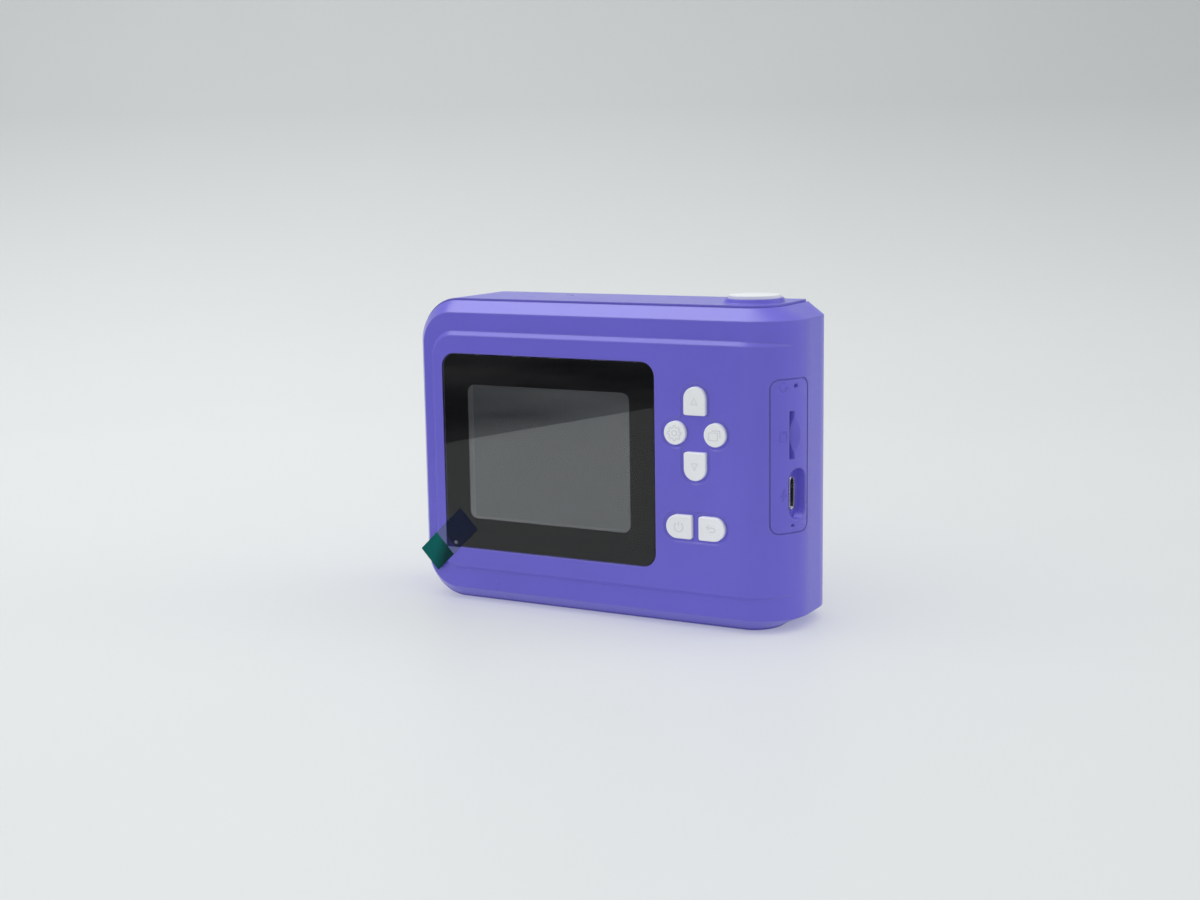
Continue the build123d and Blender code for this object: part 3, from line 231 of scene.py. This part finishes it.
def clear(name, colour, roughness, smears=0.05):
    """Glass or clear plastic with faint finger smears."""
    g = Graph(name, {"Transmission Weight": 1.0, "IOR": 1.49})
    smear = g.remap(g.noise(85, 4, (1.0, 1.0, 2.4)), 0.52, 0.75, 0.0, smears)
    cloud = g.spread(g.noise(30, 2), 0.0, 1.0)
    g.set("Base Color", g.mix(cloud, tint(colour, 0.98), tint(colour, 1.0)))
    g.set("Roughness", g.math("ADD", smear, roughness))
    g.bump(g.noise(CALM_BUMP_SCALE, 1), CALM_BUMP, CALM_BUMP_STRENGTH)
    return g.material


def lcd_glass(name):
    """A switched-off display: dark grey under a polariser, a paler frame round its active area."""
    g = Graph(name, {"IOR": 1.5, "Coat Weight": 1.0, "Coat Roughness": 0.03, "Coat IOR": 1.5})
    low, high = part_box("lcd_panel")
    across, up = g.axis("X"), g.axis("Z")
    middle_x = (low.x + high.x) / 2
    middle_z = (low.z + high.z) / 2
    away_x = g.math("ABSOLUTE", g.math("SUBTRACT", across, middle_x))
    away_z = g.math("ABSOLUTE", g.math("SUBTRACT", up, middle_z))
    past_x = g.math("SUBTRACT", away_x, ACTIVE_HALF_W)
    past_z = g.math("SUBTRACT", away_z, ACTIVE_HALF_H)
    frame_share = g.remap(g.math("MAXIMUM", past_x, past_z), 0.0, ACTIVE_EDGE, 0.0, 1.0)
    cloud = g.spread(g.noise(50, 3), 0.0, 1.0)
    active = g.mix(cloud, (0.031, 0.036, 0.038, 1), (0.037, 0.041, 0.041, 1))
    g.set("Base Color", g.mix(frame_share, active, (0.070, 0.074, 0.078, 1)))
    g.set("Roughness", g.spread(g.noise(40, 2), 0.06, 0.10))
    g.bump(g.noise(CALM_BUMP_SCALE, 1), CALM_BUMP, CALM_BUMP_STRENGTH)
    return g.material


def printed(name, colour):
    """Black ink behind the window, with a fine screen-print mottle."""
    g = Graph(name, {"IOR": 1.3, "Specular IOR Level": 0.1})
    mottle = g.remap(g.noise(900, 3), 0.35, 0.65, 0.0, 1.0)
    g.set("Base Color", g.mix(mottle, tint(colour, 0.75), tint(colour, 1.25)))
    g.set("Roughness", g.remap(mottle, 0.0, 1.0, 0.5, 0.65))
    g.bump(mottle, 0.003 * MM, 0.3)
    return g.material


def film(name, colour, alpha, roughness):
    """Thin tinted plastic with faint ripples."""
    g = Graph(name, {"IOR": 1.5, "Alpha": alpha})
    ripple = g.noise(170, 3, (1.0, 1.0, 0.35))
    g.set("Base Color", g.mix(g.spread(ripple, 0.0, 1.0), tint(colour, 0.9), tint(colour, 1.1)))
    g.set("Roughness", g.spread(g.noise(600, 2), roughness - 0.04, roughness + 0.05))
    g.bump(ripple, 0.06 * MM, 0.4)
    return g.material


def peel_film(name):
    """The protective film: near black over the window's print, milky violet over the shell."""
    g = Graph(name, {"IOR": 1.5, "Alpha": FILM_ALPHA, "Specular IOR Level": 0.25})
    low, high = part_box("screen_window")
    across, up = g.axis("X"), g.axis("Z")
    past = [g.math("SUBTRACT", low.x, across), g.math("SUBTRACT", across, high.x),
            g.math("SUBTRACT", low.z, up), g.math("SUBTRACT", up, high.z)]
    outside = g.math("MAXIMUM", g.math("MAXIMUM", past[0], past[1]), g.math("MAXIMUM", past[2], past[3]))
    ripple = g.noise(170, 3, (1.0, 1.0, 0.35))
    over_window = g.mix(ripple, (0.0, 0.003, 0.030, 1), (0.001, 0.010, 0.055, 1))
    over_shell = g.mix(ripple, (0.18, 0.21, 0.43, 1), (0.22, 0.25, 0.49, 1))
    g.set("Base Color", g.mix(g.remap(outside, 0.0, FILM_EDGE, 0.0, 1.0), over_window, over_shell))
    g.set("Roughness", g.spread(g.noise(600, 2), 0.14, 0.22))
    g.bump(ripple, 0.06 * MM, 0.4)
    return g.material


def green_tab(name):
    """The green pull tab, with painted shade: brighter on its left side than on its right."""
    g = Graph(name, {"IOR": 1.5, "Specular IOR Level": 0.1})
    low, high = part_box("film_tab")
    # Painted shade: the tab runs from a lit green to a shaded green across a leaning line.
    lit_green, shaded_green = (0.0, 0.12, 0.11, 1), (0.0, 0.03, 0.033, 1)
    shade_line = g.math("ADD", g.axis("X"), g.math("MULTIPLY", g.axis("Z"), -TAB_LEAN))
    middle = (low.x + high.x) / 2 - TAB_LEAN * (low.z + high.z) / 2
    share = g.remap(shade_line, middle - TAB_LIT_TO, middle + TAB_SHADED_FROM, 0.0, 1.0)
    stir = g.spread(g.noise(300, 3), -0.08, 0.08)
    g.set("Base Color", g.mix(g.math("ADD", share, stir), lit_green, shaded_green))
    g.set("Roughness", g.spread(g.noise(500, 3), 0.16, 0.26))
    g.bump(g.noise(260, 3), 0.05 * MM, 0.5)
    return g.material


def board(name, colour):
    """Green solder mask over copper tracks, with plated holes."""
    g = Graph(name, {"IOR": 1.5, "Coat Weight": 0.4, "Coat Roughness": 0.15})
    track = g.add("ShaderNodeTexBrick", {"Vector": g.place, "Scale": 420.0, "Mortar Size": 0.02})
    lines = g.remap(track.outputs["Fac"], 0.0, 1.0, 0.0, 0.6)
    tone = g.mix(lines, tint(colour, 0.8), tint(colour, 1.7))
    plated = g.remap(g.cells(380), 0.10, 0.14, 1.0, 0.0)
    g.set("Base Color", g.mix(plated, tone, (0.62, 0.50, 0.24, 1)))
    g.set("Roughness", g.spread(g.noise(700, 3), 0.25, 0.4))
    g.bump(track.outputs["Fac"], 0.03 * MM, 0.6)
    return g.material


def foil(name, colour):
    """Laminated pouch with soft creases."""
    g = Graph(name, {"Metallic": 0.85})
    crease = g.noise(140, 5)
    g.set("Base Color", g.mix(g.spread(crease, 0.0, 1.0), tint(colour, 0.85), tint(colour, 1.05)))
    g.set("Roughness", g.spread(crease, 0.3, 0.45))
    g.bump(crease, 0.15 * MM, 0.6)
    return g.material


def ribbon(name, colour):
    """Polyimide ribbon with copper lines along it."""
    g = Graph(name, {"IOR": 1.6})
    wave = g.add("ShaderNodeTexWave", {"Vector": g.place, "Scale": 640.0, "Distortion": 0.0})
    lines = g.remap(wave.outputs["Fac"], 0.4, 0.6, 0.0, 1.0)
    g.set("Base Color", g.mix(lines, tint(colour, 0.8), tint(colour, 1.5)))
    g.set("Roughness", g.spread(g.noise(500, 2), 0.28, 0.4))
    g.bump(lines, 0.01 * MM, 0.5)
    return g.material


def foam(name, colour):
    """Closed-cell foam."""
    g = Graph(name, {"IOR": 1.4})
    pores = g.cells(2600)
    g.set("Base Color", g.mix(g.remap(pores, 0.0, 0.6, 0.0, 1.0), tint(colour, 0.5), tint(colour, 1.8)))
    g.set("Roughness", g.remap(pores, 0.0, 0.6, 0.95, 0.8))
    g.bump(pores, 0.12 * MM, 0.9)
    return g.material


PURPLE = (0.140, 0.117, 0.640)
WHITE = (0.91, 0.92, 0.94)

SLOT_MATERIALS = {
    "body_shell": moulded(
        "purple_shell", PURPLE, 0.30, grain=6000, height=0.004, edge=0.6, edge_wear_and_highlight=0.12, Coat_Weight=0.2,
        Coat_Roughness=0.25),
    "key_white": moulded("white_keys", WHITE, 0.36, grain=9000, height=0.008, edge=0.30, edge_wear_and_highlight=0.05),
    "shutter_white": moulded("white_shutter", tint(WHITE, 0.95), 0.30, edge=0.4, edge_wear_and_highlight=0.05),
    "window_clear": clear("clear_window", (0.97, 0.98, 0.99), 0.0, 0.004),
    "black_print": printed("black_ink", (0.006, 0.0065, 0.008)),
    "lcd_glass": lcd_glass("display_glass"),
    "tray_steel": metal("tray_steel", (0.55, 0.56, 0.57), 0.34),
    "ribbon_film": ribbon("amber_ribbon", (0.45, 0.22, 0.05)),
    "clear_film": peel_film("peel_film"),
    "green_tab": green_tab("green_tab"),
    "switch_steel": metal("switch_steel", (0.62, 0.62, 0.63), 0.30),
    "black_plastic": moulded("black_nylon", (0.022, 0.022, 0.024), 0.45, edge=0.1),
    "circuit_board": board("solder_mask", (0.012, 0.11, 0.045)),
    "chip_epoxy": moulded("chip_epoxy", (0.025, 0.025, 0.028), 0.6, grain=5000, height=0.03, edge=0.08),
    "socket_steel": metal("socket_steel", (0.80, 0.80, 0.81), 0.20),
    "battery_foil": foil("battery_foil", (0.62, 0.63, 0.65)),
    "white_plastic": moulded("white_nylon", (0.72, 0.72, 0.68), 0.5, edge=0.1),
    "wire_sleeve": moulded("wire_sleeve", (0.45, 0.03, 0.02), 0.4, edge=0.1),
    "lens_glass": clear("coated_glass", (0.86, 0.90, 0.97), 0.0, 0.02),
    "ring_white": moulded("ring_white", (0.80, 0.81, 0.83), 0.22, edge=0.35, edge_wear_and_highlight=0.05, Coat_Weight=0.4),
    "frosted_window": moulded("frosted_window", (0.84, 0.84, 0.82), 0.42, edge=0.2, Subsurface_Weight=0.3),
    "lamp_yellow": moulded("lamp_phosphor", (0.80, 0.60, 0.10), 0.4, edge=0.1),
    "speaker_black": moulded("speaker_cone", (0.03, 0.03, 0.032), 0.6, grain=1500, height=0.05),
    "foam_black": foam("black_foam", (0.02, 0.02, 0.02)),
    "screw_steel": metal("screw_steel", (0.52, 0.52, 0.53), 0.28, (6, 6, 6)),
    "stem_plastic": moulded("stem_plastic", (0.09, 0.09, 0.09), 0.45, edge=0.1),
}


def paint_nodes():
    """Gives each CAD node the material of its slot."""
    for part in frame["record"]["subparts"]:
        data = frame["nodes"][part["node"]].data
        for index in range(len(data.materials)):
            data.materials[index] = SLOT_MATERIALS[part["material_slot"]]


# ================ pieces ================


def arc(middle, radius, start, end, steps=ARC_STEPS):
    """Points of an arc, angles in degrees anticlockwise from the right."""
    turn = [math.radians(start + (end - start) * i / steps) for i in range(steps + 1)]
    return [(middle[0] + radius * math.cos(t), middle[1] + radius * math.sin(t)) for t in turn]


def stroke_piece(name, body, slot, lines, lay):
    """Raised lines: each (points, closed) in a drawing's own millimetres, laid on a surface by lay."""
    curve = bpy.data.curves.new(name, "CURVE")
    curve.dimensions = "3D"
    curve.bevel_depth = STROKE_R
    curve.bevel_resolution = STROKE_ROUNDNESS
    curve.use_fill_caps = True
    for points, closed in lines:
        line = curve.splines.new("POLY")
        line.points.add(len(points) - 1)
        for point, (across, up) in zip(line.points, points):
            point.co = (*lay(across * MM, up * MM), 1.0)
        line.use_cyclic_u = closed
    drawn = bpy.data.objects.new(name + "_line", curve)
    bpy.context.scene.collection.objects.link(drawn)
    bpy.context.view_layer.update()
    mesh = bpy.data.meshes.new_from_object(drawn.evaluated_get(bpy.context.evaluated_depsgraph_get()))
    bpy.data.objects.remove(drawn)
    mesh.name = name
    for face in mesh.polygons:
        face.use_smooth = True
    mesh.materials.clear()
    mesh.materials.append(MARK_MATERIALS[slot])
    piece = bpy.data.objects.new(name, mesh)
    bpy.context.scene.collection.objects.link(piece)
    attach(piece, body)
    return piece


MARK_MATERIALS = {
    "key_white": moulded("key_marks", tint(WHITE, 0.80), 0.42, edge=0.05, edge_wear_and_highlight=0.0),
    "body_shell": moulded("shell_marks", tint(PURPLE, 0.88), 0.32, edge=0.05, edge_wear_and_highlight=0.0),
}


def triangle(size, direction):
    """A small open triangle that points up or down."""
    half = size / 2
    tip = (0, direction * half)
    return [([(-half, -direction * half), tip, (half, -direction * half)], True)]


def gear(radius, teeth):
    """A gear wheel: a toothed outline round a hub."""
    outline = []
    for i in range(teeth):
        middle = 360 * i / teeth
        for turn, reach in ((-13, 0.74), (-9, 1.0), (9, 1.0), (13, 0.74)):
            angle = math.radians(middle + turn)
            outline.append((radius * reach * math.cos(angle), radius * reach * math.sin(angle)))
    return [(outline, True), (arc((0, 0), radius * 0.34, 0, 345), True)]


def picture_frame(width, height):
    """Two stacked picture frames, for changing the mode."""
    w, h = width / 2, height / 2
    front = [(-w, -h), (w * 0.55, -h), (w * 0.55, h * 0.55), (-w, h * 0.55)]
    back = [(-w * 0.5, h), (w, h), (w, -h * 0.45)]
    return [(front, True), (back, False)]


def power_mark(radius):
    """A broken circle with a bar in its gap."""
    return [(arc((0, 0), radius, 125, 415), False), ([(0, radius * 0.25), (0, radius * 1.2)], False)]


def return_mark(size):
    """An arrow that turns back to the left."""
    r = size * 0.42
    tip = (-size, r)
    hook = [tip, (size * 0.35, r)] + arc((size * 0.35, 0), r, 90, -90, 12) + [(-size * 0.35, -r)]
    barbs = [(-size * 0.45, r + size * 0.5), tip, (-size * 0.45, r - size * 0.5)]
    return [(hook, False), (barbs, False)]


def reset_mark(radius):
    """A round arrow."""
    ring = arc((0, 0), radius, 60, 360)
    end = ring[-1]
    barbs = [(end[0] - 0.55, end[1] - 0.35), end, (end[0] + 0.5, end[1] - 0.5)]
    return [(ring, False), (barbs, False)]


def card_mark(width, height):
    """A memory card with one cut corner."""
    w, h = width / 2, height / 2
    outline = [(-w, -h), (w, -h), (w, h), (-w * 0.25, h), (-w, h * 0.55)]
    contacts = [([(across, h * 0.35), (across, h * 0.75)], False) for across in (0, w * 0.5)]
    return [(outline, True)] + contacts


def plug_mark(size):
    """A charging bolt."""
    bolt = [(0.25, 1.0), (-0.55, -0.05), (0.05, -0.05), (-0.25, -1.0), (0.55, 0.15), (-0.05, 0.15)]
    return [([(x * size, z * size) for x, z in bolt], True)]


KEY_MARKS = {
    "up": triangle(1.7, 1),
    "down": triangle(1.7, -1),
    "settings": gear(2.0, 8),
    "mode": picture_frame(3.2, 2.6),
    "power": power_mark(1.25),
    "return": return_mark(1.35),
}


def mark_keys():
    """Raises a symbol on each key."""
    sunk = STROKE_R - STROKE_RISE
    for key, lines in KEY_MARKS.items():
        low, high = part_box(key + "_key")
        middle_x, middle_z = (low.x + high.x) / 2, (low.z + high.z) / 2

        def lay(across, up):
            return (middle_x + across, low.y + sunk, middle_z + up)

        stroke_piece(key + "_symbol", key + "_button", "key_white", lines, lay)


WALL_MARKS = {
    "reset_symbol": ("reset_switch", reset_mark(1.15)),
    "card_symbol": ("card_socket", card_mark(2.0, 2.8)),
    "charge_symbol": ("usb_shell", plug_mark(1.6)),
}


def mark_wall():
    """Raises a symbol beside each socket, laid on the curved end of the shell."""
    shell = frame["nodes"]["back_housing"]
    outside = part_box("back_housing")[1].x + RAY_START
    sunk = STROKE_R - STROKE_RISE
    for name, (neighbour, lines) in WALL_MARKS.items():
        low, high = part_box(neighbour)
        middle_z = (low.z + high.z) / 2

        def lay(across, up):
            spot = Vector((outside, MARK_Y + across * MARK_FORESHORTEN, middle_z + up))
            _, place, normal, _ = shell.ray_cast(spot, Vector((-1, 0, 0)))
            return place - normal * sunk

        stroke_piece(name, "housing", "body_shell", lines, lay)


BUBBLE_R = 0.55 * MM
BUBBLE_RISE = 0.10 * MM
BUBBLE_RINGS, BUBBLE_SIDES = 5, 24
BUBBLE_FROM_LEFT = 6.45 * MM
BUBBLE_FROM_FOOT = 3.5 * MM


def film_bubble():
    """A small air bubble trapped under the peel-off film."""
    low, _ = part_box("screen_film")
    bubble = bmesh.new()
    rings, sides = BUBBLE_RINGS, BUBBLE_SIDES
    tip = bubble.verts.new((low.x + BUBBLE_FROM_LEFT, low.y - BUBBLE_RISE, low.z + BUBBLE_FROM_FOOT))
    last = [tip] * sides
    for ring in range(1, rings + 1):
        share = ring / rings
        row = []
        for side in range(sides):
            turn = 2 * math.pi * side / sides
            x = tip.co.x + BUBBLE_R * share * math.cos(turn)
            z = tip.co.z + BUBBLE_R * share * math.sin(turn)
            row.append(bubble.verts.new((x, low.y - BUBBLE_RISE * math.cos(share * math.pi / 2), z)))
        for side in range(sides):
            corners = [last[side], last[side - 1], row[side - 1], row[side]]
            bubble.faces.new(list(dict.fromkeys(corners)))
        last = row
    mesh = bpy.data.meshes.new("film_bubble")
    bubble.to_mesh(mesh)
    bubble.free()
    for face in mesh.polygons:
        face.use_smooth = True
    mesh.materials.append(film("bubble_film", (0.30, 0.33, 0.40), 0.5, 0.12))
    piece = bpy.data.objects.new("film_bubble", mesh)
    bpy.context.scene.collection.objects.link(piece)
    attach(piece, "housing")


# ================ stage, light, camera ================


def heading(yaw):
    """(forward, right) on the ground for a camera turned left by yaw degrees from +Y."""
    turn = math.radians(yaw)
    return Vector((-math.sin(turn), math.cos(turn), 0)), Vector((math.cos(turn), math.sin(turn), 0))


def sweep_material():
    """Matt white paper with painted shade, greyer up the wall, with hardly visible waves."""
    g = Graph("sweep_paper", {"IOR": 1.45, "Specular IOR Level": 0.2})
    cloud = g.spread(g.noise(3, 3), 0.0, 1.0)
    floor = g.mix(cloud, (0.715, 0.730, 0.728, 1), (0.735, 0.748, 0.745, 1))
    # Painted shade: the wall is a greyer paper than the floor.
    shaded_wall = g.mix(cloud, (0.520, 0.532, 0.530, 1), (0.540, 0.551, 0.548, 1))
    height = g.remap(g.axis("Z"), 0.0, SWEEP_SHADE_HEIGHT, 0.0, 1.0)
    g.set("Base Color", g.mix(height, floor, shaded_wall))
    g.set("Roughness", g.spread(g.noise(9, 2), 0.42, 0.50))
    g.bump(g.noise(14, 2), 0.05 * MM, 0.2)
    return g.material


def build_sweep():
    """The floor, and the curve and wall that it rises into behind the object."""
    forward, right = heading(CAMERA_YAW)
    profile = [(FLOOR_FRONT, 0.0), (SWEEP_START, 0.0)]
    for i in range(1, SWEEP_STEPS + 1):
        turn = math.pi / 2 * i / SWEEP_STEPS
        profile.append((SWEEP_START + SWEEP_RADIUS * math.sin(turn), SWEEP_RADIUS * (1 - math.cos(turn))))
    profile.append((SWEEP_START + SWEEP_RADIUS, SWEEP_HEIGHT))
    sheet = bmesh.new()
    rows = []
    for side in (-1, 1):
        edge = right * (side * SWEEP_HALF_WIDTH)
        rows.append([sheet.verts.new(edge + forward * along + Vector((0, 0, up))) for along, up in profile])
    for i in range(len(profile) - 1):
        sheet.faces.new([rows[0][i], rows[1][i], rows[1][i + 1], rows[0][i + 1]])
    mesh = bpy.data.meshes.new("sweep")
    sheet.to_mesh(mesh)
    sheet.free()
    for face in mesh.polygons:
        face.use_smooth = True
    mesh.materials.append(sweep_material())
    sweep = bpy.data.objects.new("sweep", mesh)
    bpy.context.scene.collection.objects.link(sweep)


TABLE_EDGE = [(-0.215, -0.19), (-0.105, -0.62)]
DARK_FAR = [(-0.10, -2.4), (-2.4, -2.4), (-2.4, -0.19)]
DARK_LIFT = 0.6 * MM         # the dark area is this far above the floor
DARK_COLOUR, DIM_COLOUR = (0.075, 0.078, 0.092, 1), (0.35, 0.35, 0.36, 1)


def build_dark_side():
    """The dim room past the table's edge, which only mirror-like surfaces pick up."""
    g = Graph("dim_room", {"Specular IOR Level": 0.0})
    patches = g.remap(g.noise(7, 4), 0.35, 0.65, 0.0, 1.0)
    g.set("Base Color", g.mix(patches, DARK_COLOUR, DIM_COLOUR))
    g.set("Roughness", 0.9)
    mesh = bpy.data.meshes.new("dim_room")
    corners = [(x, y, DARK_LIFT) for x, y in TABLE_EDGE + DARK_FAR]
    mesh.from_pydata(corners, [], [list(range(len(corners)))])
    mesh.materials.append(g.material)
    card = bpy.data.objects.new("dim_room", mesh)
    bpy.context.scene.collection.objects.link(card)
    card.visible_camera = False
    card.visible_diffuse = False
    card.visible_shadow = False


def sky_strength(tree):
    """How bright the sky is: brighter to the back right, dimmer to the front right."""
    place = tree.nodes.new("ShaderNodeTexCoord").outputs["Generated"]
    parts = tree.nodes.new("ShaderNodeSeparateXYZ")
    tree.links.new(place, parts.inputs[0])

    def ramp(axis, sign):
        node = tree.nodes.new("ShaderNodeMapRange")
        tree.links.new(parts.outputs[axis], node.inputs["Value"])
        node.inputs["From Max"].default_value = sign
        return node.outputs[0]

    def combine(operation, a, b):
        node = tree.nodes.new("ShaderNodeMath")
        node.operation = operation
        for socket, value in ((0, a), (1, b)):
            if isinstance(value, bpy.types.NodeSocket):
                tree.links.new(value, node.inputs[socket])
            else:
                node.inputs[socket].default_value = value
        return node.outputs[0]

    strength = SKY_STRENGTH
    for sign, gain in ((1, SKY_BACK_RIGHT), (-1, SKY_FRONT_RIGHT)):
        corner = combine("MULTIPLY", ramp("X", 1), ramp("Y", sign))
        strength = combine("ADD", strength, combine("MULTIPLY", corner, gain))
    return strength


def build_light():
    """A pale sky, and one wide softbox overhead that casts no shadow."""
    world = bpy.data.worlds.new("studio")
    world.use_nodes = True
    sky = world.node_tree.nodes["Background"]
    sky.inputs["Color"].default_value = (*SKY, 1.0)
    world.node_tree.links.new(sky_strength(world.node_tree), sky.inputs["Strength"])
    bpy.context.scene.world = world
    lamp = bpy.data.lights.new("softbox", "AREA")
    lamp.shape = "RECTANGLE"
    lamp.size, lamp.size_y = SOFTBOX_SIZE
    lamp.energy = SOFTBOX_WATTS
    lamp.use_shadow = False
    softbox = bpy.data.objects.new("softbox", lamp)
    softbox.location = SOFTBOX_AT
    softbox.rotation_euler = (-Vector(SOFTBOX_AT)).to_track_quat("-Z", "Y").to_euler()
    bpy.context.scene.collection.objects.link(softbox)


def build_camera():
    """The photograph's viewpoint and lens."""
    data = bpy.data.cameras.new("camera")
    data.lens = LENS_MM
    data.sensor_width = SENSOR_MM
    data.clip_start = CLIP_START
    camera = bpy.data.objects.new("camera", data)
    turned = Matrix.Rotation(math.radians(CAMERA_YAW), 4, "Z")
    tipped = Matrix.Rotation(math.radians(90 - CAMERA_PITCH), 4, "X")
    rolled = Matrix.Rotation(math.radians(CAMERA_ROLL), 4, "Z")
    camera.matrix_world = Matrix.Translation(CAMERA_AT) @ turned @ tipped @ rolled
    bpy.context.scene.collection.objects.link(camera)
    bpy.context.scene.camera = camera


paint_nodes()
mark_keys()
mark_wall()
film_bubble()
build_sweep()
build_dark_side()
build_light()
build_camera()
bpy.context.scene.view_settings.view_transform = "Standard"
